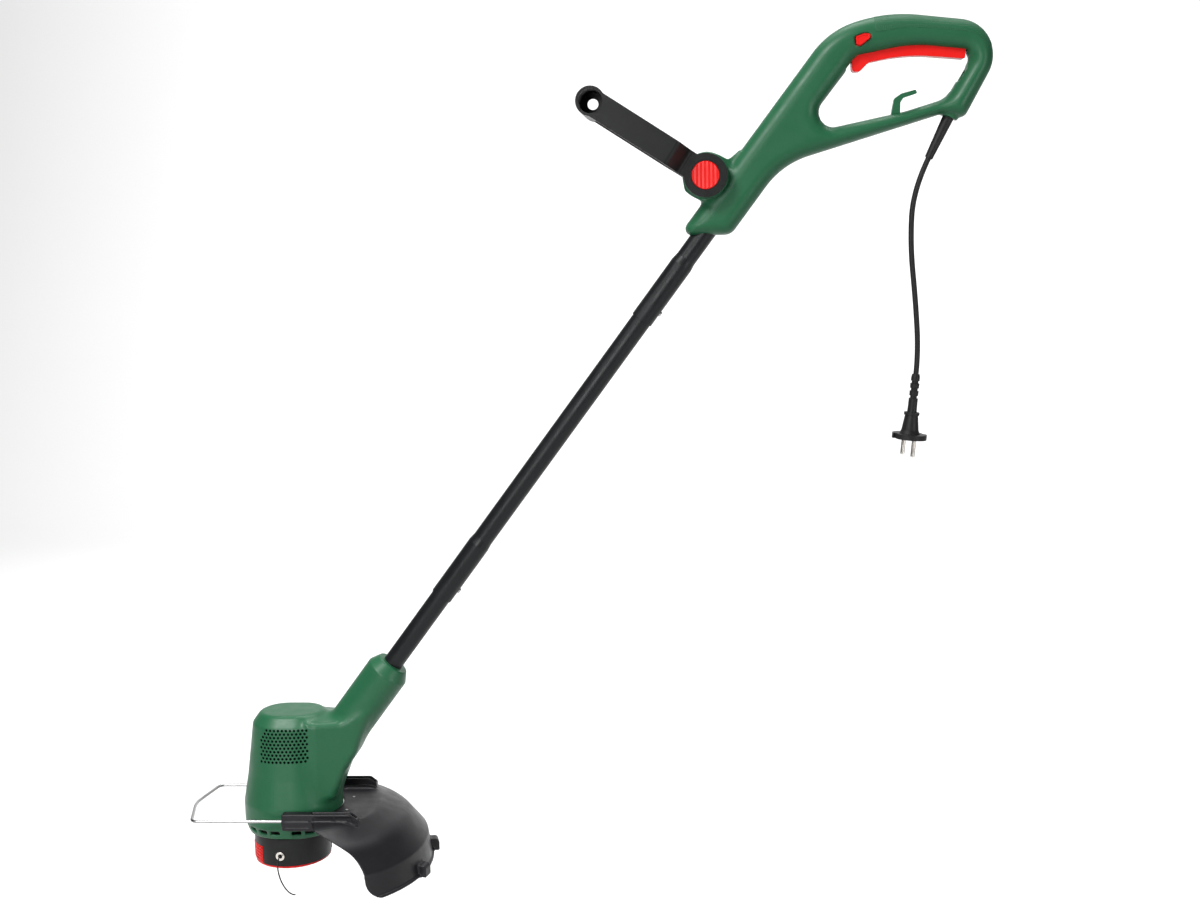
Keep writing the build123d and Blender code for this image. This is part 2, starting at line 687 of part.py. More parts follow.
def ring_piece(outer, inner, low, high, angle, spread):
    """A piece of a ring about the spindle, centred on an angle."""
    wedge = extrude(Pos(0, 0, low) * make_face(sector(outer + 2, angle, spread)), amount=high - low)
    return spindle_ring(outer, inner, low, high) & (Pos(spindle_x, 0, spool_floor_z) * wedge)


def motor_case():
    """The fixed side of the motor: can, magnets, end cap, bearings, brushes."""
    save("motor_can", spindle_turned([
        (26.5, motor_low), (motor_radius, motor_low), (motor_radius, motor_high), (5.5, motor_high),
        (5.5, 139), (bearing_radius, 139), (bearing_radius, 132), (10.5, 132), (10.5, 138.5), (26.5, 138.5),
    ]))
    save("motor_end_cap", spindle_turned([
        (motor_radius, 76), (motor_radius, motor_low), (10.5, motor_low), (10.5, 79.5),
        (bearing_radius, 79.5), (bearing_radius, 72.5), (5.5, 72.5), (5.5, 71), (10.5, 71), (10.5, 76),
    ]))
    save("motor_magnets", *[ring_piece(26.4, 19.0, 92, 128, angle, 62) for angle in (0, 180)])
    bore = motor_shaft_radius + fit_gap
    save("upper_bearing", spindle_ring(bearing_radius, bore, 132, 138.9))
    save("lower_bearing", spindle_ring(bearing_radius, bore, 72.6, 79.4))
    brush = Pos(12.1, 0, 84) * Box(8, 4, 5)
    save("carbon_brushes", *[round_head(brush, angle) for angle in (90, 270)])
    places = [(at_head(0, side * 16.7, 84), (0, side, 0)) for side in (-1, 1)]
    save("brush_springs", *[coil_spring(origin, way, 1.5, 9.0, 6, 0.5) for origin, way in places])


def armature_core():
    """The laminated armature with its winding slots."""
    core = spindle_ring(18, motor_shaft_radius, 94, 126)
    for number in range(8):
        core -= round_head(Pos(14, 0, 110) * Box(12, 3, 40), 45 * number)
    return core


def fan():
    """The cooling fan: a disc with straight radial blades."""
    body = spindle_ring(10, motor_shaft_radius, 52, 64) + spindle_ring(34, motor_shaft_radius, 52, 54)
    for number in range(12):
        body += round_head(Pos(21, 0, 58.5) * Box(24, 1.6, 10), 30 * number)
    return body


def motor_rotor():
    """All that turns with the spindle above the spool."""
    save("motor_shaft", spindle_ring(motor_shaft_radius, 0, 10, 146))
    save("armature_core", armature_core())
    windings = [spindle_ring(16.5, motor_shaft_radius, low, low + 3.5) for low in (90.5, 126)]
    save("armature_winding", *windings)
    save("commutator", spindle_ring(7.9, motor_shaft_radius, 80.5, 90))
    save("cooling_fan", fan())
    hub = [(motor_shaft_radius, 5), (8, 5), (8, 34), (12, 34), (12, 46), (motor_shaft_radius, 46)]
    save("drive_hub", spindle_turned(hub))


# ---------------------------------------------------------------- spool
cup_inner = 39.5
cup_floor = 3.0
cup_plate = (31.0, 34.0)
window_angles = (-150.0, 30.0)
window_spread = 23.0
window_top = 23.0
catch_spread = 21.0
catch_ribs = 5
catch_rib_pitch = 3.6
eyelet_angle = -96.0
eyelet_height = 15.0
eyelet_radius = 5.0
knob_radius = 16.0
knob_drop = 5.0                 # the bump knob stands below the cover


def radial_rod(radius, start, end, angle, height):
    """A cylinder that points away from the spindle."""
    plane = Plane(origin=(start, 0, height), x_dir=(0, 1, 0), z_dir=(1, 0, 0))
    return round_head(extrude(plane * Circle(radius), amount=end - start), angle)


def spool_cup():
    """The cup that turns with the spindle, with two windows for the cover's catches."""
    cup = spindle_ring(cup_radius, cup_inner, cup_floor, cup_plate[1])
    cup += spindle_ring(cup_radius, 8, *cup_plate)
    for angle in window_angles:
        cup -= ring_piece(cup_radius + 1, cup_inner - 1, cup_floor - 1, window_top, angle, window_spread)
    return cup - radial_rod(eyelet_radius, cup_inner - 3, cup_radius + 3, eyelet_angle, eyelet_height)


def spool_catches():
    """The two press tabs of the cover, each with ribs round it."""
    tabs = []
    for angle in window_angles:
        tab = ring_piece(cup_radius, cup_inner + 0.2, cup_floor, window_top - 0.5, angle, catch_spread)
        for number in range(catch_ribs):
            low = cup_floor + 2.0 + catch_rib_pitch * number
            tab += ring_piece(cup_radius + 0.7, cup_radius - 0.6, low, low + 1.7, angle, catch_spread - 2)
        tabs.append(tab)
    return tabs


def spool():
    """Cup, eyelet, cover with catches, bobbin with its line, spring, and the line that sticks out."""
    save("spool_cup", spool_cup())
    eyelet = radial_rod(eyelet_radius, cup_inner - 1, cup_radius + 0.9, eyelet_angle, eyelet_height)
    save("line_eyelet", eyelet - radial_rod(2.5, cup_inner - 3, cup_radius + 3, eyelet_angle, eyelet_height))
    save("spool_cover", spindle_turned([
        (knob_radius + 1, 0), (40.6, 0), (42.3, 1.2), (42.3, cup_floor), (knob_radius + 1, cup_floor),
    ]))
    near_catch, far_catch = spool_catches()
    save("spool_catch_near", near_catch)
    save("spool_catch_far", far_catch)
    save("bobbin", spindle_turned([
        (0, -knob_drop), (14, -knob_drop), (knob_radius, 2 - knob_drop), (knob_radius, 6), (36, 6), (36, 8),
        (knob_radius, 8), (knob_radius, 24), (36, 24), (36, 26), (13, 26), (13, 12),
        (8.1, 12), (8.1, 0), (0, 0),
    ]))
    save("wound_line", spindle_ring(33, knob_radius + 0.2, 8.2, 23.8))
    save("feed_spring", coil_spring(at_head(0, 0, 12.6), (0, 0, 1), 10.5, 17.8, 5, 1.0))
    way = Vector(1, 0, 0).rotate(Axis.Z, eyelet_angle)
    start, bend = [at_head(way.X * radius, way.Y * radius, eyelet_height) for radius in (37.4, 43.0)]
    path = Line(start, bend) + TangentArc(bend, at_head(13, -54, -25), tangent=way)
    save("cutting_line", sweep(Plane(origin=path @ 0, z_dir=path % 0) * Circle(0.8), path=path))


# ---------------------------------------------------------------- guard
guard_outline = [
    (40, 62), (85, 62), (118, 47), (139, 20), (142.5, -5.5), (144.5, -6),
    (144.5, -9), (139.5, -9), (135.5, 18.5), (116, 43.8), (84, 58.5), (40, 58.5),
]
guard_radii = [0, 30, 40, 3, 0, 0, 0, 0, 1, 36, 26, 0]
rail = (4.0, 88.0, 51.5, 61.5, 52.0, 71.0)      # x from, x to, |Y| from, |Y| to, height from, height to
rail_slot = (37.0, 86.0, 53.8, 58.8, 59.2, 72.0)
wire_clearance = 0.1
wire_end_x = 61.0
wire_corner = (-98.0, 8.0)      # x and bend radius of the two front corners
wire_front = (-110.0, 60.0)     # x and bend radius of the middle of the front
bump_angle, bump_width = 15.0, 14.0
cutter_angle = 43.0
guard_rim_low = -9.0
guard_corner = 22.0


def side_box(low_x, high_x, low_y, high_y, low, high, side):
    """A block beside the head: |Y| limits on one side, heights above the spool floor."""
    middle = at_head((low_x + high_x) / 2, side * (low_y + high_y) / 2, (low + high) / 2)
    return Pos(*middle) * Box(high_x - low_x, high_y - low_y, high - low)


def round_guard(piece, angle):
    """A piece drawn outwards along X from the guard's axis, turned about that axis."""
    return Pos(spindle_x + guard_centre, 0, spool_floor_z) * Rot(0, 0, angle) * piece


def guard():
    """The guard: a turned sector, a flat deck beside the housing, two rails and two stops."""
    face = make_face(FilletPolyline(*guard_outline, radius=guard_radii, close=True))
    shell = round_guard(revolve(Plane.XZ * face, Axis.Z, 2 * guard_half_angle), -guard_half_angle)
    low = guard_deck_height - guard_wall
    shell += Pos(*at_head(40.0, 0, (low + guard_deck_height) / 2)) * Box(72, 2 * rail[3], guard_wall)
    stop = Pos(146, 0, -2) * Box(10, bump_width, 14)
    stop = fillet(stop.edges().filter_by(Axis.Y).group_by(Axis.Z)[-1], 4.0)
    for side in (-1, 1):
        shell += side_box(*rail, side)
        shell += round_guard(stop, side * bump_angle)
    for side in (-1, 1):
        middle = Pos(guard_rim_radius, -side * (guard_corner - 1), guard_rim_low + guard_corner - 1)
        reach = guard_corner + 3
        corner = Pos(0, side * reach / 2, -reach / 2) * Box(60, reach, reach)
        corner -= Rot(0, 90, 0) * Cylinder(guard_corner, 60)
        shell -= round_guard(middle * corner, side * guard_half_angle)
    shell += round_guard(Pos(133, 2.9, 11.5) * Box(12, 5, 22), cutter_angle)
    clear = housing_base_radius + window_gap
    plan = Pos(*at_head(housing_stretch / 2, 0, guard_deck_height)) * Box(housing_stretch, 2 * clear, 20)
    for x in (0, housing_stretch):
        plan += Pos(*at_head(x, 0, guard_deck_height)) * Cylinder(clear, 20)
    shell -= plan
    for side in (-1, 1):
        wire_bore = Plane(origin=at_head(-20, side * wire_half_span, wire_height), z_dir=(1, 0, 0))
        shell -= extrude(wire_bore * Circle(wire_radius - 0.05 + wire_clearance), amount=106)
        shell -= side_box(*rail_slot, side)
    for x, y in guard_screw_places:
        shell -= Pos(*at_head(x, y, guard_deck_height - 10.5)) * Cylinder(screw_radius, 20)
    for height in (6.0, 17.0):
        hole = Plane(origin=(132, 0, height), z_dir=(0, 1, 0)) * Circle(1.2)
        shell -= round_guard(extrude(hole, amount=4.2), cutter_angle)
    return shell


def guard_parts():
    """The guard with its screws, the line cutter, and the wire plant guard in the rails."""
    save("guard", guard())
    heads = [at_head(x, y, ledge[3]) for x, y in guard_screw_places]
    save("guard_screws", *[screw(place, (0, 0, 1), 11.0) for place in heads])
    blade = Pos(127.1, -0.2, 11.5) * Box(13.6, 1.2, 18)
    for height in (6.0, 17.0):
        blade -= extrude(Plane(origin=(132, -2, height), z_dir=(0, 1, 0)) * Circle(1.2), amount=4)
    save("line_cutter", round_guard(blade, cutter_angle))
    small = [screw((132, -0.8, height), (0, 1, 0), 4.8, 1.2, 2.4, 1.4) for height in (6.0, 17.0)]
    save("cutter_screws", *[round_guard(piece, cutter_angle) for piece in small])
    corner_x, corner_bend = wire_corner
    front_x, front_bend = wire_front
    points = [(wire_end_x, -wire_half_span), (corner_x, -wire_half_span), (front_x, 0)]
    points += [(corner_x, wire_half_span), (wire_end_x, wire_half_span)]
    line = FilletPolyline(*points, radius=[corner_bend, front_bend, corner_bend])
    path = Pos(*at_head(0, 0, wire_height)) * line
    section = Plane(origin=path @ 0, z_dir=path % 0) * Circle(wire_radius - 0.05)
    save("plant_guard", sweep(section, path=path))


# ---------------------------------------------------------------- write the nodes
near_shell, far_shell, soft_pad = handle_shells()
save("handle_shell_near", near_shell)
save("handle_shell_far", far_shell)
save("grip_pad", soft_pad)
handle_insides()
handle_screws()
cord_parts()
front_handle()
shaft_parts()
motor_head()
motor_case()
motor_rotor()
spool()
guard_parts()
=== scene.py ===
"""The string trimmer's looks: camera, cord, smooth mouldings, materials and light on the CAD frame."""

import json
from math import cos, hypot, pi, radians, sin

import bpy
import numpy as np
from mathutils import Matrix, Vector


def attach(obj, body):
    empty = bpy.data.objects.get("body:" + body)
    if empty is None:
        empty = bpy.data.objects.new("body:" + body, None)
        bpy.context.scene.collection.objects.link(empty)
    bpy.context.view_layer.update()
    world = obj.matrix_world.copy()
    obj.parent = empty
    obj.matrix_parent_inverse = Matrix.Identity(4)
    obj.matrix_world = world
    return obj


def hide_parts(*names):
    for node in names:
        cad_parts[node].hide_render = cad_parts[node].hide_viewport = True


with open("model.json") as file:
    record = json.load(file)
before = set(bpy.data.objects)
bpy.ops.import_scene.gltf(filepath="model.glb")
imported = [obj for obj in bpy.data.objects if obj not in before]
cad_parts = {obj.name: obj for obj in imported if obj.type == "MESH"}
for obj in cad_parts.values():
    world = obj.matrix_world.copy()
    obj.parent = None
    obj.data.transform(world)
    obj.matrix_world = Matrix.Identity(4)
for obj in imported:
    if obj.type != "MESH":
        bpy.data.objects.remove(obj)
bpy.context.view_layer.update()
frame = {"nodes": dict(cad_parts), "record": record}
nodes = frame["nodes"]

MM = 0.001

# ---------------------------------------------------------------- places shared with the part, in millimetres
SPINDLE_X, FLOOR_Z = -685.0, -889.0         # the spindle, and the spool's floor
SHAFT_FOOT = 61.0                           # height above the spool's floor where shaft and spindle meet
SHAFT_ANGLE = radians(53.0)


def shaft_point(station, off):
    """A point of the side view from its station along the shaft axis and its distance off it."""
    along_x, along_z = cos(SHAFT_ANGLE), sin(SHAFT_ANGLE)
    x = SPINDLE_X + station * along_x - off * along_z
    z = FLOOR_Z + SHAFT_FOOT + station * along_z + off * along_x
    return x, z


# ---------------------------------------------------------------- camera
EYE = Vector((-0.2321, -1.692, -0.1726))
YAW, PITCH, ROLL = radians(3.14), radians(8.95), radians(-1.25)
SENSOR = 36.0
LENS = 47.34


def make_camera():
    """The camera the photo was taken with, as far as the picture tells."""
    forward = Vector((-sin(YAW) * cos(PITCH), cos(YAW) * cos(PITCH), -sin(PITCH)))
    level = Vector((cos(YAW), sin(YAW), 0))
    upright = level.cross(forward)
    right = level * cos(ROLL) + upright * sin(ROLL)
    up = upright * cos(ROLL) - level * sin(ROLL)
    camera = bpy.data.objects.new("camera", bpy.data.cameras.new("camera"))
    camera.matrix_world = Matrix.Translation(EYE) @ Matrix((right, up, -forward)).transposed().to_4x4()
    camera.data.sensor_width = SENSOR
    camera.data.lens = LENS
    camera.data.clip_start = 0.01
    camera.data.clip_end = 60.0
    bpy.context.collection.objects.link(camera)
    bpy.context.scene.camera = camera


make_camera()

# ---------------------------------------------------------------- cord
CORD_DIAMETER = 0.0058
CORD_POINTS = [
    (0.0254, 0, -0.1234),
    (0.00980, 0, -0.15585),
    (0.0072, 0, -0.2120),
    (0.0134, 0, -0.2720),
    (0.0168, 0, -0.3257),
    (0.0145, 0, -0.3496),
]


def make_cord():
    """The mains cord, hanging from the sleeve's mouth to the plug's flange."""
    curve = bpy.data.curves.new("mains_cord", "CURVE")
    curve.dimensions = "3D"
    curve.bevel_depth = 1.0             # times each point's radius, which is what the curve's box counts
    curve.bevel_resolution = 6
    curve.use_fill_caps = True
    spline = curve.splines.new("NURBS")
    spline.points.add(len(CORD_POINTS) - 1)
    for point, place in zip(spline.points, CORD_POINTS):
        point.co = (*place, 1.0)
        point.radius = CORD_DIAMETER / 2
    spline.order_u = 3
    spline.use_endpoint_u = True
    spline.resolution_u = 24
    cord = bpy.data.objects.new("mains_cord", curve)
    bpy.context.collection.objects.link(cord)
    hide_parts("cord")
    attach(cord, "frame")
    return cord


cord = make_cord()


# ---------------------------------------------------------------- distance fields, in millimetres
CHORD = 3.0                     # length of the chords that make a rounded corner
OUTSIDE = 1e9                   # farther than anything here


def rounded_outline(points, radii):
    """A closed outline whose corners are arcs of short chords, as an array of points."""
    corners = [Vector(p) for p in points]
    line = []
    for number, corner in enumerate(corners):
        radius = radii[number]
        before = (corners[number - 1] - corner).normalized()
        after = (corners[(number + 1) % len(corners)] - corner).normalized()
        half = before.angle(after) / 2
        if radius <= 0:
            line.append(corner)
            continue
        start = corner + before * (radius / np.tan(half))
        end = corner + after * (radius / np.tan(half))
        centre = corner + (before + after).normalized() * (radius / sin(half))
        first, last = (start - centre), (end - centre)
        steps = max(4, round(radius * (pi - 2 * half) / CHORD))
        for step in range(steps + 1):
            way = first.lerp(last, step / steps).normalized()
            line.append(centre + way * radius)
    return np.array([(p.x, p.y) for p in line])


def outline_distance(line, x, z):
    """Signed distance from points to a closed outline, negative inside."""
    x, z = np.broadcast_arrays(x, z)
    nearest = np.full(x.shape, OUTSIDE)
    inside = np.zeros(x.shape, bool)
    for (ax, az), (bx, bz) in zip(line, np.roll(line, -1, axis=0)):
        ex, ez = bx - ax, bz - az
        px, pz = x - ax, z - az
        along = np.clip((px * ex + pz * ez) / (ex * ex + ez * ez + 1e-12), 0, 1)
        nearest = np.minimum(nearest, (px - ex * along) ** 2 + (pz - ez * along) ** 2)
        crosses = (az > z) != (bz > z)
        if ez:
            inside ^= crosses & (x < ax + ex * (z - az) / ez)
    return np.where(inside, -1, 1) * np.sqrt(nearest)


def smooth_union(a, b, reach):
    """The nearer of two distances, blended where they are within reach of each other."""
    share = np.clip(0.5 + 0.5 * (b - a) / reach, 0, 1)
    return b + (a - b) * share - reach * share * (1 - share)


def smooth_cut(a, b, reach):
    """Body a with body b taken out of it and the edge between them rounded."""
    return -smooth_union(-a, b, reach)


def block_distance(x, y, z, low, high):
    """Distance to a block, negative inside."""
    middle = [(a + b) / 2 for a, b in zip(low, high)]
    half = [(b - a) / 2 for a, b in zip(low, high)]
    outside = [abs(v - m) - h for v, m, h in zip((x, y, z), middle, half)]
    return np.maximum(np.maximum(outside[0], outside[1]), outside[2])


def surface_net(distance, low, high, step):
    """Points and faces of the zero level of distance(x, y, z) inside a box that holds all of it."""
    axes = [np.arange(a, b + step, step) for a, b in zip(low, high)]
    field = distance(*np.meshgrid(*axes, indexing="ij", sparse=True))
    cells = [len(axis) - 1 for axis in axes]
    total = np.zeros((np.prod(cells), 3))
    count = np.zeros(np.prod(cells))
    quads = []
    for axis in range(3):
        here = np.take(field, range(field.shape[axis] - 1), axis)
        there = np.take(field, range(1, field.shape[axis]), axis)
        crossing = (here < 0) != (there < 0)
        edges = np.argwhere(crossing)
        points = edges.astype(float)
        points[:, axis] += here[crossing] / (here[crossing] - there[crossing])
        u, v = (axis + 1) % 3, (axis + 2) % 3
        ring = []
        for du, dv in ((0, 0), (1, 0), (1, 1), (0, 1)):
            cell = edges.copy()
            cell[:, u] -= du
            cell[:, v] -= dv
            flat = np.ravel_multi_index(cell.T, cells)
            np.add.at(total, flat, points)
            np.add.at(count, flat, 1)
            ring.append(flat)
        ring = np.stack(ring, axis=1)
        leaving = here[crossing] < 0
        quads.append(np.where(leaving[:, None], ring, ring[:, ::-1]))
    quads = np.concatenate(quads)
    used, faces = np.unique(quads, return_inverse=True)
    points = total[used] / count[used, None] * step + np.array(low)
    return points, faces.reshape(quads.shape)


def net_object(name, distance, low, high, step):
    """A smooth-shaded mesh object in the row frame from a distance field in millimetres."""
    points, faces = surface_net(distance, low, high, step)
    mesh = bpy.data.meshes.new(name)
    mesh.from_pydata((points * MM).tolist(), [], faces.tolist())
    mesh.shade_smooth()
    made = bpy.data.objects.new(name, mesh)
    bpy.context.collection.objects.link(made)
    return made


# ---------------------------------------------------------------- rear handle
HANDLE_END = -198.5
HANDLE_OUTLINE = [
    (-229.0, HANDLE_END), (-229.0, -188.5), (-78.3, 8.6), (-19.5, 25.6), (111.2, 9.5),
    (61.0, -83.6), (36.0, -79.4), (-126.6, -126.6), (-180.9, HANDLE_END),
]
HANDLE_RADII = [7.0, 8.0, 83.0, 160.0, 37.5, 8.0, 6.0, 85.0, 14.0]
OPENING_OUTLINE = [(-50.0, -19.5), (6.0, -9.6), (70.1, -17.2), (43.0, -62.9), (0.0, -75.4), (-110.2, -96.8)]
OPENING_RADII = [12.0, 150.0, 8.0, 27.0, 120.0, 15.0]
PAD_OUTLINE = [
    (-34.0, 40.0), (-33.0, 3.0), (2.0, 8.0), (66.0, 1.0),
    (84.0, -14.0), (125.0, 10.0), (110.0, 40.0),
]
PAD_RADII = [0, 4.0, 90.0, 30.0, 2.0, 0, 0]
PAD_PROUD, PAD_DEPTH = 0.2, 1.5
LOCK_OUTLINE = [(-52.6, -0.2), (-43.9, 2.7), (-38.0, 2.2), (-38.0, -1.8), (-47.3, -8.9), (-51.9, -8.0)]
LOCK_RADIUS, LOCK_GAP, LOCK_DEPTH = 1.4, 0.7, 5.0
SLOT_LOW, SLOT_HIGH = (-60.5, -8.4, -46.0), (62.5, 8.4, -3.0)      # the trigger's slot
HALF_WIDTH = 19.0
RIM_HALF = 2.0                  # flat band along the outline, each side of the middle
EDGE_REACH = 16.0               # how far in from the outline the side keeps curving
EDGE_KEPT, EDGE_BLEND = 3.0, 4.0            # the outermost band stays as it is, the next is blended
SMOOTHING_PASSES = 10
PIVOT = (-207.5, -136.3)
BOSS_RADIUS, BOSS_HALF, BOSS_ROOT_HALF = 24.0, 20.4, 11.0
CAP_STEP = 0.6                  # the boss's cap is this much smaller than its root
WEB_OUTLINE = [(-205, -117), (-184, -121), (-172, -112), (-160, -130), (-200, -165), (-226, -150)]
WEB_HALF = 9.0
GLAND_START, GLAND_AIM = (46.5, -79.5), (25.4, -123.4)             # the cord leaves along this line
GLAND_RADIUS, GLAND_LIP, GLAND_INSIDE = 9.5, 3.0, 8.0
WELL_RADIUS, HANDLE_WELL_FLOOR = 3.6, 12.0                         # screw wells, on the far side
SCREW_PLACES = [shaft_point(805.0, -16.8), shaft_point(872.0, -16.8)]
SCREW_PLACES += [(-100.0, -32.0), (-104.0, -106.0), (-66.0, 3.0)]
SCREW_PLACES += [(69.0, -6.0), (-52.0, -95.0), (57.0, -65.0)]


def handle_inward(x, z):
    """How deep each place of the side view lies inside the handle's outline, with the ridges smoothed."""
    outer = rounded_outline(HANDLE_OUTLINE, HANDLE_RADII)
    opening = rounded_outline(OPENING_OUTLINE, OPENING_RADII)
    depth = -np.maximum(outline_distance(outer, x, z), -outline_distance(opening, x, z))
    share = np.clip((depth - EDGE_KEPT) / EDGE_BLEND, 0, 1)
    soft = np.minimum(depth, EDGE_REACH)
    for _ in range(SMOOTHING_PASSES):
        mean = np.roll(soft, 1, 0) + np.roll(soft, -1, 0)
        mean = (mean + np.roll(soft, 1, 2) + np.roll(soft, -1, 2)) / 4
        soft = soft * (1 - share) + mean * share
    return soft


def gland_distance(x, y, z):
    """The short round gland from which the cord's sleeve hangs."""
    (gx, gz), (ex, ez) = GLAND_START, GLAND_AIM
    length = hypot(ex - gx, ez - gz)
    dx, dz = (ex - gx) / length, (ez - gz) / length
    along = (x - gx) * dx + (z - gz) * dz
    off = np.sqrt(((x - gx) * dz - (z - gz) * dx) ** 2 + y ** 2)
    return np.maximum(off - GLAND_RADIUS, abs(along + GLAND_INSIDE) - GLAND_INSIDE - GLAND_LIP)


def handle_skin(x, y, z):
    """The closed handle: a pillow-edged bar with the pivot boss and the cord's gland blended in."""
    depth = handle_inward(x, z)
    across = np.maximum(1 - depth / EDGE_REACH, 0)
    side = np.maximum((abs(y) - RIM_HALF) / (HALF_WIDTH - RIM_HALF), 0)
    body = (np.sqrt(across ** 2 + side ** 2) - 1) * EDGE_REACH
    radial = np.sqrt((x - PIVOT[0]) ** 2 + (z - PIVOT[1]) ** 2)
    boss = np.maximum(radial - BOSS_RADIUS, abs(y) - BOSS_ROOT_HALF)
    cap = np.maximum(radial - BOSS_RADIUS + CAP_STEP, abs(y) - BOSS_HALF)
    web = outline_distance(np.array(WEB_OUTLINE), x, z)
    body = smooth_union(body, np.maximum(web, abs(y) - WEB_HALF), reach=5.0)
    solid = np.minimum(smooth_union(body, boss, reach=10.0), cap)
    solid = smooth_union(solid, gland_distance(x, y, z), reach=3.0)
    solid = smooth_cut(solid, block_distance(x, y, z, SLOT_LOW, SLOT_HIGH), reach=1.5)
    window = outline_distance(rounded_outline(LOCK_OUTLINE, [LOCK_RADIUS] * 6), x, z) - LOCK_GAP
    solid = smooth_cut(solid, np.maximum(window, y + HALF_WIDTH - LOCK_DEPTH), reach=0.8)
    for place_x, place_z in SCREW_PLACES:
        well = np.sqrt((x - place_x) ** 2 + (z - place_z) ** 2) - WELL_RADIUS
        solid = smooth_cut(solid, np.maximum(well, HANDLE_WELL_FLOOR - y), reach=0.8)
    return solid


def pad_skin(x, y, z):
    """The soft pad: a slightly proud skin over the top of the grip."""
    edge = outline_distance(rounded_outline(PAD_OUTLINE, PAD_RADII), x, z)
    core = handle_skin(x, y, z)
    return np.maximum(np.maximum(core - PAD_PROUD, -core - PAD_DEPTH), edge)


def make_handle(step):
    shell = net_object("handle_moulding", handle_skin, (-236, -24, -204), (100, 24, 34), step)
    pad = net_object("grip_pad_skin", pad_skin, (-40, -23, -22), (100, 23, 34), step)
    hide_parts("handle_shell_near", "handle_shell_far")
    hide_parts("grip_pad")
    return shell, pad


# ---------------------------------------------------------------- motor head
DOME_OUTLINE = [(0, 172), (27, 172), (36, 160), (44, 102), (50, 70), (50, 48), (46, 36), (0, 36)]
DOME_RADII = [0, 7.0, 8.0, 70.0, 20.0, 3.0, 1.0, 0]
STRETCH, FRONT_STRETCH = 9.0, 1.5           # the dome is this much longer to the back and to the front
TOP_STRETCH, TOP_STRETCH_FROM, TOP_STRETCH_RISE = 6.0, 130.0, 35.0
CHEEK_OUTLINE = [(29, 165), (68, 165), (98, 176), (84, 129), (70, 108), (57, 76), (29, 76)]
CHEEK_RADII = [2.0, 14.0, 2.0, 20.0, 30.0, 4.0, 2.0]
CHEEK_HALF, CHEEK_TAPER, CHEEK_TAPER_FROM, CHEEK_TAPER_RUN = 35.0, 0.22, 40.0, 60.0
NECK_RADIUS, NECK_OFF = 24.0, -0.6
NECK_START, NECK_END, NECK_TAPER, MOUTH_RADIUS = 45.0, 205.5, 11.5, 17.5
SLOTS, SLOT_WIDTH, SLOT_HEIGHT, SLOT_LEVEL, SLOT_FLOOR = 20, 10.5, 4.5, 44.0, 42.0
ROOM_RADIUS, ROOM_LEVEL, ROOM_HALF = 44.0, 40.5, 9.0               # hollow above the spool
HEAD_SCREWS = [(-43.5, 64.0), (50.5, 66.0), (-17.0, 157.0), (27.0, 158.0)]
NECK_SCREWS = [shaft_point(170.0, 14.5), shaft_point(170.0, -19.5)]
HEAD_SCREWS += [(x - SPINDLE_X, z - FLOOR_Z) for x, z in NECK_SCREWS]
HEAD_WELL_FLOOR = 10.5


def neck_distance(across, y, height):
    """The round neck along the shaft, with a taper down to its mouth."""
    foot_z = height - SHAFT_FOOT
    station = across * cos(SHAFT_ANGLE) + foot_z * sin(SHAFT_ANGLE)
    rise = -across * sin(SHAFT_ANGLE) + foot_z * cos(SHAFT_ANGLE)
    off = np.sqrt((rise - NECK_OFF) ** 2 + y ** 2)
    slope = (NECK_RADIUS - MOUTH_RADIUS) / NECK_TAPER
    cone = (off - MOUTH_RADIUS - (NECK_END - station) * slope) / hypot(1, slope)
    ends = np.maximum(NECK_START - station, station - NECK_END)
    return np.maximum(np.maximum(off - NECK_RADIUS, cone), ends)


def head_skin(x, y, z):
    """The closed motor head: dome, cheeks and neck blended into one moulding."""
    across, height = x - SPINDLE_X, z - FLOOR_Z
    rise = np.clip((height - TOP_STRETCH_FROM) / TOP_STRETCH_RISE, 0, 1)
    reach = STRETCH + TOP_STRETCH * rise
    radial = np.sqrt((across - np.clip(across, -FRONT_STRETCH, reach)) ** 2 + y ** 2)
    profile = rounded_outline(DOME_OUTLINE, DOME_RADII)
    mirrored = np.concatenate([profile, profile[::-1] * (-1, 1)])
    dome = outline_distance(mirrored, radial, height)
    side = outline_distance(rounded_outline(CHEEK_OUTLINE, CHEEK_RADII), across, height)
    half = CHEEK_HALF - np.clip(across - CHEEK_TAPER_FROM, 0, CHEEK_TAPER_RUN) * CHEEK_TAPER
    cheek = smooth_cut(side, half - abs(y), reach=8.0)
    solid = smooth_union(dome, neck_distance(across, y, height), reach=12.0)
    solid = smooth_union(solid, cheek, reach=7.0)
    step = 2 * pi / SLOTS
    for number in range(SLOTS):
        turn = step * (number + 0.5)
        shift = STRETCH if cos(turn) > 0 else 0.0
        out = (across - shift) * cos(turn) + y * sin(turn)
        along = -(across - shift) * sin(turn) + y * cos(turn)
        slot = np.maximum(abs(along) - SLOT_WIDTH / 2, abs(height - SLOT_LEVEL) - SLOT_HEIGHT / 2)
        solid = smooth_cut(solid, np.maximum(slot, SLOT_FLOOR - out), reach=0.8)
    room = np.maximum(radial - ROOM_RADIUS, abs(height - ROOM_LEVEL) - ROOM_HALF)
    solid = np.maximum(solid, -room)
    for place_x, place_h in HEAD_SCREWS:
        well = np.sqrt((across - place_x) ** 2 + (height - place_h) ** 2) - WELL_RADIUS
        solid = smooth_cut(solid, np.maximum(well, HEAD_WELL_FLOOR - y), reach=0.8)
    return solid


def make_head(step):
    head = net_object("head_moulding", head_skin, (-740, -54, -858), (-536, 54, -646), step)
    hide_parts("motor_housing_near", "motor_housing_far")
    return head


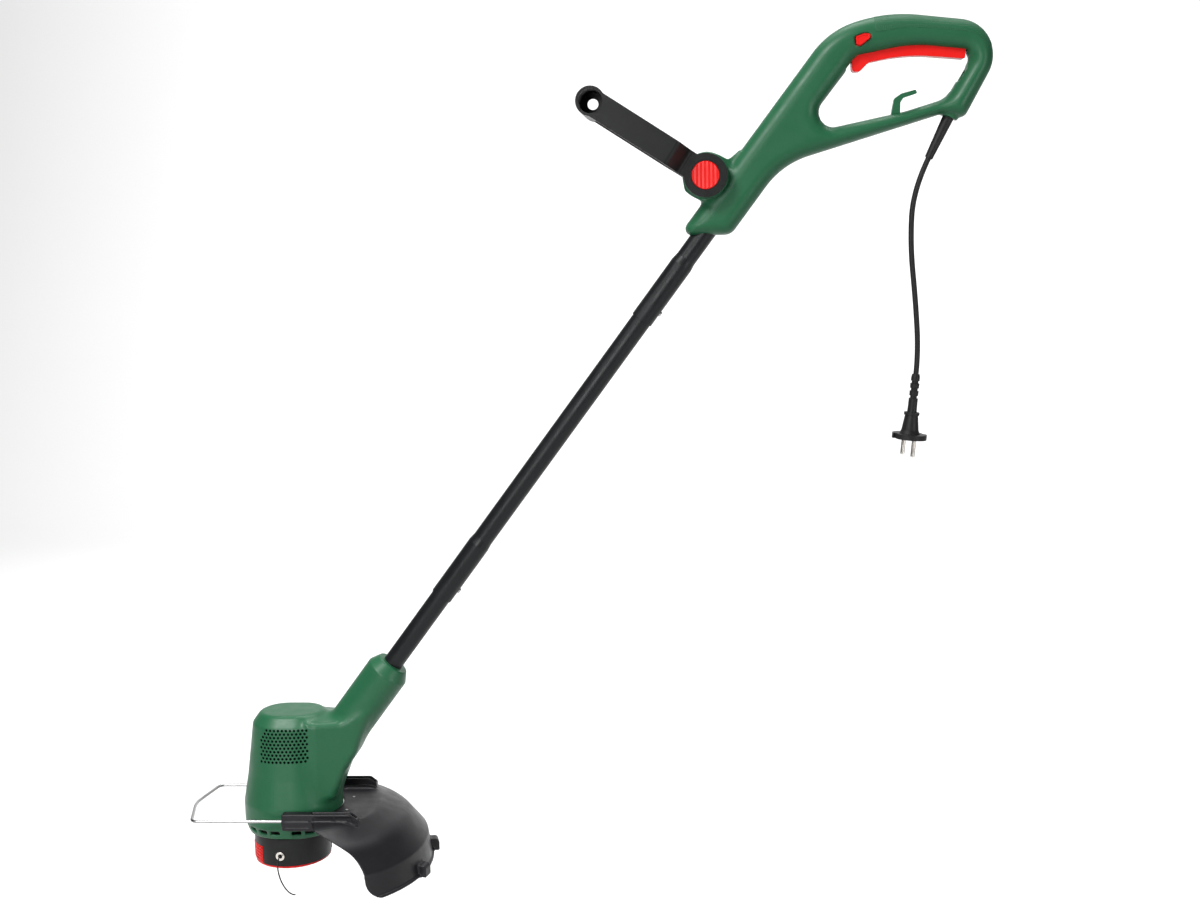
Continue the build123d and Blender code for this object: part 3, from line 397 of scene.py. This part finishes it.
# ---------------------------------------------------------------- guard
GUARD_X = SPINDLE_X + 15.0
RIM_ANGLE, ROOF_ANGLE = radians(50.0), radians(70.0)               # the ends, from the guard's middle
FLARE_FROM, FLARE_RISE = 15.0, 45.0
GUARD_OUTLINE = [
    (40, 62), (85, 62), (118, 47), (139, 20), (142.5, -5.5), (144.5, -6),
    (144.5, -9), (139.5, -9), (135.5, 18.5), (116, 43.8), (84, 58.5), (40, 58.5),
]
GUARD_RADII = [0, 30, 40, 3, 0.5, 0.5, 0.5, 0.5, 1, 36, 26, 0]
GUARD_CORNER, CORNER_FROM, GUARD_LOW = 22.0, 100.0, -9.0
RAIL_OUTLINE, RAIL_RADII = [(4, 52), (4, 71), (80, 71), (88, 65), (88, 52)], [1.5, 1.5, 2, 2, 1]
RAIL_MIDDLE, RAIL_HALF = 56.5, 5.0
RAIL_PANELS = ((8, 34), (40, 60), (64, 82))
PANEL_FLOOR, PANEL_FACE, PANEL_BOTTOM, PANEL_TOP = 61.0, 62.0, 56.0, 67.5
GROOVE_LOW, GROOVE_HIGH = (37, 53.8, 59.2), (86, 58.8, 72)
WIRE_OFF, WIRE_LEVEL, WIRE_BORE = 56.3, 61.4, 2.0
WIRE_MIDDLE, WIRE_HALF = 33.0, 53.0
DECK_OUTLINE = [(4, -61.5), (76, -61.5), (76, 61.5), (4, 61.5)]
DECK_LEVEL, DECK_HALF = 60.25, 1.75
POCKET_OUTLINE = [(52, -45), (92, -45), (100, -30), (100, 30), (92, 45), (52, 45)]
POCKET_RADII, POCKET_FLOOR = [4, 10, 14, 14, 10, 4], 60.6
STOP_LOW, STOP_HIGH, STOP_ROUND = (137, -7, -9), (151, 7, 5), 5.0
LUG_LOW, LUG_HIGH = (127, 0.4, 0.5), (139, 5.4, 22.5)
HOUSING_ROOM = 50.4
STOP_ANGLE, CUTTER_ANGLE = radians(15.0), radians(43.0)


def turned(out, along, angle):
    """The two distances again, measured along directions turned by an angle."""
    return out * cos(angle) + along * sin(angle), along * cos(angle) - out * sin(angle)


def guard_wall(from_axis, y, height):
    """The turned wall, cut off at its two ends and with its low corners rounded."""
    radial = np.sqrt(from_axis ** 2 + y ** 2)
    wall = outline_distance(rounded_outline(GUARD_OUTLINE, GUARD_RADII), radial, height)
    flare = np.clip((height - FLARE_FROM) / FLARE_RISE, 0, 1) ** 3
    half_angle = RIM_ANGLE + (ROOF_ANGLE - RIM_ANGLE) * flare
    to_end = from_axis * np.sin(half_angle) - abs(y) * np.cos(half_angle)
    wall = np.maximum(wall, -to_end)
    in_end = np.maximum(GUARD_CORNER - to_end, 0)
    in_rim = np.maximum(GUARD_CORNER - (height - GUARD_LOW), 0)
    corner = np.sqrt(in_end ** 2 + in_rim ** 2) - GUARD_CORNER
    return np.maximum(wall, np.where(radial > CORNER_FROM, corner, -OUTSIDE))


def guard_rails(across, y, height):
    """The two rail boxes, open on top, with panels on the near side and bores for the wire."""
    side = outline_distance(rounded_outline(RAIL_OUTLINE, RAIL_RADII), across, height)
    rail = np.maximum(side, abs(abs(y) - RAIL_MIDDLE) - RAIL_HALF)
    rail = np.maximum(rail, -block_distance(across, abs(y), height, GROOVE_LOW, GROOVE_HIGH))
    for low, high in RAIL_PANELS:
        corners = (low, PANEL_FLOOR, PANEL_BOTTOM), (high, PANEL_FACE, PANEL_TOP)
        rail = smooth_cut(rail, block_distance(across, -y, height, *corners), reach=0.6)
    off_wire = np.sqrt((abs(y) - WIRE_OFF) ** 2 + (height - WIRE_LEVEL) ** 2)
    bore = np.maximum(off_wire - WIRE_BORE, abs(across - WIRE_MIDDLE) - WIRE_HALF)
    return np.maximum(rail, -bore)


def guard_skin(x, y, z):
    """The guard: turned wall, deck with a shallow pocket, rails with grooves, two stops."""
    across, height = x - SPINDLE_X, z - FLOOR_Z
    from_axis = x - GUARD_X
    wall = guard_wall(from_axis, y, height)
    deck = outline_distance(np.array(DECK_OUTLINE), across, y)
    deck = np.maximum(deck, abs(height - DECK_LEVEL) - DECK_HALF)
    pocket = outline_distance(rounded_outline(POCKET_OUTLINE, POCKET_RADII), across, y)
    plate = smooth_cut(np.minimum(wall, deck), np.maximum(pocket, POCKET_FLOOR - height), reach=1.0)
    solid = smooth_union(plate, guard_rails(across, y, height), reach=2.0)
    out, along = turned(from_axis, y, CUTTER_ANGLE)
    solid = np.minimum(solid, block_distance(out, along, height, LUG_LOW, LUG_HIGH))
    out, along = turned(from_axis, abs(y), STOP_ANGLE)
    stop = block_distance(out, along, height, STOP_LOW, STOP_HIGH)
    beyond = np.maximum(out - (STOP_HIGH[0] - STOP_ROUND), 0)
    corner = np.sqrt(beyond ** 2 + np.maximum(height, 0) ** 2) - STOP_ROUND
    solid = smooth_union(solid, np.maximum(stop, corner), reach=2.0)
    housing = np.sqrt((across - np.clip(across, 0, STRETCH)) ** 2 + y ** 2) - HOUSING_ROOM
    return np.maximum(solid, -housing)


def make_guard(step):
    low, high = (-684, -116, -901), (-512, 116, -812)
    made = net_object("guard_moulding", guard_skin, low, high, step)
    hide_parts("guard")
    return made


# ---------------------------------------------------------------- materials
class Paint:
    """A node material under construction, with short calls for the nodes it needs."""

    def __init__(self, name):
        self.material = bpy.data.materials.new(name)
        self.material.use_nodes = True
        self.tree = self.material.node_tree
        self.shader = self.tree.nodes["Principled BSDF"]
        self.place = self.node("ShaderNodeNewGeometry").outputs["Position"]

    def node(self, kind, **settings):
        made = self.tree.nodes.new(kind)
        for key, value in settings.items():
            setattr(made, key, value)
        return made

    def feed(self, socket, value):
        if isinstance(value, bpy.types.NodeSocket):
            self.tree.links.new(value, socket)
        else:
            socket.default_value = value

    def sum(self, operation, *values):
        made = self.node("ShaderNodeMath", operation=operation)
        for socket, value in zip(made.inputs, values):
            self.feed(socket, value)
        return made.outputs[0]

    def noise(self, scale, detail=4.0, rough=0.55, stretch=None):
        made = self.node("ShaderNodeTexNoise")
        where = self.place
        if stretch:
            mapping = self.node("ShaderNodeMapping")
            self.feed(mapping.inputs["Vector"], where)
            mapping.inputs["Scale"].default_value = stretch
            where = mapping.outputs[0]
        self.feed(made.inputs["Vector"], where)
        made.inputs["Scale"].default_value = scale
        made.inputs["Detail"].default_value = detail
        made.inputs["Roughness"].default_value = rough
        return made.outputs["Fac"]

    def spread(self, value, low, high, new_low, new_high):
        made = self.node("ShaderNodeMapRange")
        for socket, number in zip(made.inputs, (value, low, high, new_low, new_high)):
            self.feed(socket, number)
        return made.outputs[0]

    def mix(self, share, first, second):
        made = self.node("ShaderNodeMix", data_type="RGBA")
        self.feed(made.inputs[0], share)
        self.feed(made.inputs[6], first)
        self.feed(made.inputs[7], second)
        return made.outputs[2]

    def bump(self, height, strength, distance, normal):
        made = self.node("ShaderNodeBump")
        made.inputs["Strength"].default_value = strength
        made.inputs["Distance"].default_value = distance
        self.feed(made.inputs["Height"], height)
        self.feed(made.inputs["Normal"], normal)
        return made.outputs[0]

    def axis(self, name):
        split = self.node("ShaderNodeSeparateXYZ")
        self.feed(split.inputs[0], self.place)
        return split.outputs[name]


def shade(colour, factor):
    return (*[min(1.0, channel * factor) for channel in colour], 1.0)


EDGE_ROUND = 0.35               # how far the shading rounds hard edges, in millimetres


def moulded(name, colour, roughness, grain, grain_scale=1900.0, mottle=0.10, metal=0.0,
            edge_lift=1.35, brushed=None, specular=0.24, extra=None):
    """A surface with slow colour drift, fine grain, rubbed edges and uneven gloss."""
    paint = Paint(name)
    rounded = paint.node("ShaderNodeBevel", samples=4)
    rounded.inputs["Radius"].default_value = EDGE_ROUND * MM
    facing = paint.node("ShaderNodeVectorMath", operation="DOT_PRODUCT")
    paint.feed(facing.inputs[0], rounded.outputs[0])
    paint.feed(facing.inputs[1], paint.node("ShaderNodeNewGeometry").outputs["Normal"])
    edge = paint.spread(facing.outputs["Value"], 0.995, 0.85, 0.0, 1.0)
    drift = paint.noise(9.0, 3.0)
    speckle = paint.noise(260.0, 5.0, 0.7)
    base = paint.mix(drift, shade(colour, 1 - mottle), shade(colour, 1 + mottle))
    base = paint.mix(paint.spread(speckle, 0.35, 0.75, 0.0, 0.35), base, shade(colour, 1 - 1.6 * mottle))
    base = paint.mix(paint.sum("MULTIPLY", edge, 0.45), base, shade(colour, edge_lift))
    fine = paint.noise(grain_scale, 2.0, 0.6, brushed)
    normal = paint.bump(fine, grain, 0.00012, rounded.outputs[0])
    gloss = paint.spread(paint.noise(60.0, 4.0), 0.3, 0.7, roughness - 0.06, roughness + 0.07)
    shader = paint.shader
    shader.inputs["Specular IOR Level"].default_value = specular
    if extra:
        base, normal, gloss = extra(paint, base, normal, gloss)
    paint.feed(shader.inputs["Base Color"], base)
    paint.feed(shader.inputs["Roughness"], gloss)
    paint.feed(shader.inputs["Normal"], normal)
    shader.inputs["Metallic"].default_value = metal
    return paint.material


GREEN = (0.016, 0.110, 0.048)
SOFT_GREEN = shade(GREEN, 0.94)[:3]
BLACK = (0.0065, 0.0068, 0.0070)
RED = (0.78, 0.012, 0.010)
HEAD_SHINE = 0.34

VENT_PITCH_X, VENT_PITCH_Z, VENT_HOLE = 4.5 * MM, 3.86 * MM, 1.35 * MM
VENT_BOTTOM, VENT_TOP = (FLOOR_Z + 121.5) * MM, (FLOOR_Z + 160.1) * MM
VENT_RIGHT = (SPINDLE_X + 30.5) * MM
VENT_SLANT_LOW, VENT_SLANT_HIGH = (SPINDLE_X - 35.0) * MM, (SPINDLE_X - 16.0) * MM
VENT_COLUMNS = 12
VENT_SIDE = 26.0 * MM           # the panel is on the sides, beyond this distance from the middle


def vent_holes_painted_shade(paint, base, normal, gloss):
    """Staggered round holes through the motor head's sides, on a panel with a slanted front edge; the holes
    are painted near-black as painted shade, with a dent and less shine.
    """
    x, z = paint.axis("X"), paint.axis("Z")
    row = paint.sum("FLOOR", paint.sum("DIVIDE", paint.sum("SUBTRACT", z, VENT_BOTTOM), VENT_PITCH_Z))
    stagger = paint.sum("MULTIPLY", paint.sum("MODULO", paint.sum("ADD", row, 100.0), 2.0), 0.5)
    left = paint.sum("DIVIDE", paint.sum("SUBTRACT", VENT_RIGHT, x), VENT_PITCH_X)
    column = paint.sum("ADD", left, stagger)
    dx = paint.sum("MULTIPLY", paint.sum("SUBTRACT", paint.sum("FRACT", column), 0.5), VENT_PITCH_X)
    up = paint.sum("DIVIDE", paint.sum("SUBTRACT", z, VENT_BOTTOM), VENT_PITCH_Z)
    dz = paint.sum("MULTIPLY", paint.sum("SUBTRACT", paint.sum("FRACT", up), 0.5), VENT_PITCH_Z)
    away = paint.sum("SQRT", paint.sum("ADD", paint.sum("POWER", dx, 2.0), paint.sum("POWER", dz, 2.0)))
    hole = paint.spread(away, VENT_HOLE * 1.12, VENT_HOLE * 0.88, 0.0, 1.0)
    edge = paint.spread(z, VENT_BOTTOM, VENT_TOP, VENT_SLANT_LOW, VENT_SLANT_HIGH)
    inside = paint.sum("LESS_THAN", paint.sum("FLOOR", column), VENT_COLUMNS)
    inside = paint.sum("MULTIPLY", inside, paint.sum("GREATER_THAN", column, 0.0))
    inside = paint.sum("MULTIPLY", inside, paint.sum("GREATER_THAN", x, edge))
    inside = paint.sum("MULTIPLY", inside, paint.sum("GREATER_THAN", z, VENT_BOTTOM))
    inside = paint.sum("MULTIPLY", inside, paint.sum("LESS_THAN", z, VENT_TOP))
    side = paint.sum("GREATER_THAN", paint.sum("ABSOLUTE", paint.axis("Y")), VENT_SIDE)
    hole = paint.sum("MULTIPLY", paint.sum("MULTIPLY", hole, inside), side)
    normal = paint.bump(paint.sum("MULTIPLY", hole, -1.0), 0.8, 0.0015, normal)
    shine = paint.sum("MULTIPLY", paint.sum("SUBTRACT", 1.0, hole), HEAD_SHINE)
    paint.feed(paint.shader.inputs["Specular IOR Level"], shine)
    # painted shade: the holes get a near-black colour in place of the dark inside of real through-holes,
    # which the mesh does not have
    return paint.mix(hole, base, (0.001, 0.003, 0.002, 1.0)), normal, gloss


def dimples(paint, base, normal, gloss):
    """Small round dimples in the soft pad."""
    cells = paint.node("ShaderNodeTexVoronoi")
    paint.feed(cells.inputs["Vector"], paint.place)
    cells.inputs["Scale"].default_value = 480.0
    cells.inputs["Randomness"].default_value = 0.15
    pit = paint.spread(cells.outputs["Distance"], 0.15, 0.4, 0.0, 1.0)
    return base, paint.bump(pit, 0.7, 0.0005, normal), gloss


def ribs_across(direction, pitch, depth):
    """Straight parallel ribs whose height changes along the direction."""
    def ribs(paint, base, normal, gloss):
        along = paint.node("ShaderNodeVectorMath", operation="DOT_PRODUCT")
        paint.feed(along.inputs[0], paint.place)
        along.inputs[1].default_value = direction
        wave = paint.sum("SINE", paint.sum("MULTIPLY", along.outputs["Value"], 2 * pi / (pitch * MM)))
        return base, paint.bump(wave, 0.8, depth * MM, normal), gloss
    return ribs


LOOKS = {
    "green_plastic": dict(colour=GREEN, roughness=0.40, grain=0.30, specular=0.28),
    "head_plastic": dict(colour=GREEN, roughness=0.40, grain=0.30, specular=HEAD_SHINE, extra=vent_holes_painted_shade),
    "soft_grip": dict(colour=SOFT_GREEN, roughness=0.50, grain=0.5, specular=0.28, extra=dimples),
    "red_plastic": dict(colour=RED, roughness=0.34, grain=0.2, mottle=0.05, edge_lift=1.1),
    "red_ribbed": dict(colour=RED, roughness=0.36, grain=0.2, mottle=0.05,
                       extra=ribs_across((1, 0, 0), pitch=4.2, depth=0.25)),
    "shell_plastic": dict(colour=BLACK, roughness=0.40, grain=0.35, edge_lift=2.4),
    "guard_plastic": dict(colour=(0.0120, 0.0112, 0.0135), roughness=0.38, grain=0.55,
                          grain_scale=900.0, edge_lift=2.6),
    "cord_rubber": dict(colour=(0.0085, 0.0085, 0.0090), roughness=0.50, grain=0.4),
    "tube_paint": dict(colour=(0.0060, 0.0072, 0.0080), roughness=0.38, grain=0.25, grain_scale=2600.0),
    "steel": dict(colour=(0.36, 0.36, 0.36), roughness=0.28, grain=0.3, grain_scale=1200.0,
                  mottle=0.06, metal=1.0, brushed=(1, 1, 14)),
    "nickel": dict(colour=(0.60, 0.57, 0.53), roughness=0.25, grain=0.2, grain_scale=1500.0,
                   mottle=0.06, metal=1.0),
    "brass": dict(colour=(0.78, 0.60, 0.34), roughness=0.24, grain=0.2, grain_scale=1500.0,
                  mottle=0.06, metal=1.0),
    "copper": dict(colour=(0.72, 0.34, 0.18), roughness=0.30, grain=0.6, grain_scale=1800.0, metal=1.0),
    "magnet": dict(colour=(0.03, 0.03, 0.034), roughness=0.55, grain=0.6),
    "carbon": dict(colour=(0.012, 0.012, 0.012), roughness=0.60, grain=0.6),
    "line": dict(colour=(0.03, 0.03, 0.032), roughness=0.32, grain=0.1),
    "white_plastic": dict(colour=(0.66, 0.66, 0.62), roughness=0.45, grain=0.3, edge_lift=1.1),
}
RED_RIBBED_NODES = ("front_lock_button_near", "front_lock_button_far")
NICKEL_NODES = ("plug_pins", "line_eyelet")


def paint_all(materials):
    """Each CAD node gets its slot's material, and a few get a closer match."""
    slots = {entry["node"]: entry["material_slot"] for entry in frame["record"]["subparts"]}
    for name, node in nodes.items():
        node.data.materials.clear()
        node.data.materials.append(materials[slots[name]])
    for name in RED_RIBBED_NODES:
        nodes[name].data.materials[0] = materials["red_ribbed"]
    for name in NICKEL_NODES:
        nodes[name].data.materials[0] = materials["nickel"]


# ---------------------------------------------------------------- light and floor
FLOOR_LEVEL = -1.15


def area_light(name, place, target, size, power):
    lamp = bpy.data.lights.new(name, "AREA")
    lamp.shape = "RECTANGLE"
    lamp.size, lamp.size_y = size
    lamp.energy = power
    made = bpy.data.objects.new(name, lamp)
    made.location = place
    made.rotation_mode = "QUATERNION"
    made.rotation_quaternion = (Vector(target) - Vector(place)).to_track_quat("-Z", "Y")
    bpy.context.collection.objects.link(made)


def make_floor():
    """A pale sweep: flat under the trimmer and curving up far behind it."""
    front, half, back, rise, bend = -6.0, 9.0, 5.0, 8.0, 2.0
    line = [(front, FLOOR_LEVEL), (back - bend, FLOOR_LEVEL)]
    for angle in np.linspace(0.1, pi / 2, 14):
        line.append((back - bend + bend * sin(angle), FLOOR_LEVEL + bend * (1 - cos(angle))))
    line.append((back, FLOOR_LEVEL + rise))
    points = [(x, y, z) for x in (-half, half) for y, z in line]
    count = len(line)
    faces = [(i, i + 1, count + i + 1, count + i) for i in range(count - 1)]
    mesh = bpy.data.meshes.new("floor")
    mesh.from_pydata(points, [], faces)
    mesh.shade_smooth()
    floor = bpy.data.objects.new("floor", mesh)
    bpy.context.collection.objects.link(floor)
    paint = Paint("floor")
    tint = paint.mix(paint.noise(1.2), (0.93, 0.93, 0.93, 1), (0.95, 0.95, 0.95, 1))
    paint.feed(paint.shader.inputs["Base Color"], tint)
    paint.shader.inputs["Roughness"].default_value = 0.75
    mesh.materials.append(paint.material)
    floor.visible_diffuse = False       # the sweep throws no light back, so edges stay dark


def make_light():
    middle, head = (-0.35, 0, -0.45), (-0.5, 0, -0.6)
    area_light("key", (-1.7, -1.8, 1.9), middle, (0.9, 0.9), 84)
    area_light("front", (-1.1, -2.2, 0.0), head, (1.0, 0.8), 27)
    area_light("fill", (1.9, -1.8, -0.4), head, (1.0, 1.0), 22)
    area_light("top", (-0.2, 0.3, 2.4), middle, (1.6, 1.0), 24)
    area_light("backdrop", (0.0, 1.2, 2.6), (0, 4.6, 0.0), (3.5, 1.0), 230)
    world = bpy.data.worlds.new("world")
    world.use_nodes = True
    background = world.node_tree.nodes["Background"]
    background.inputs["Color"].default_value = (1, 1, 1, 1)
    background.inputs["Strength"].default_value = 0.14
    bpy.context.scene.world = world
    bpy.context.scene.view_settings.view_transform = "Standard"


# ---------------------------------------------------------------- put it together
grid_step = 1.0      # millimetres
materials = {name: moulded(name, **look) for name, look in LOOKS.items()}
paint_all(materials)
cord.data.materials.append(materials["cord_rubber"])
handle, pad = make_handle(grid_step)
head = make_head(grid_step * 1.1)
guard = make_guard(grid_step)
painted = [(handle, "green_plastic"), (pad, "soft_grip"), (head, "head_plastic"), (guard, "guard_plastic")]
for piece, look in painted:
    piece.data.materials.append(materials[look])
    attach(piece, "frame")
make_floor()
make_light()
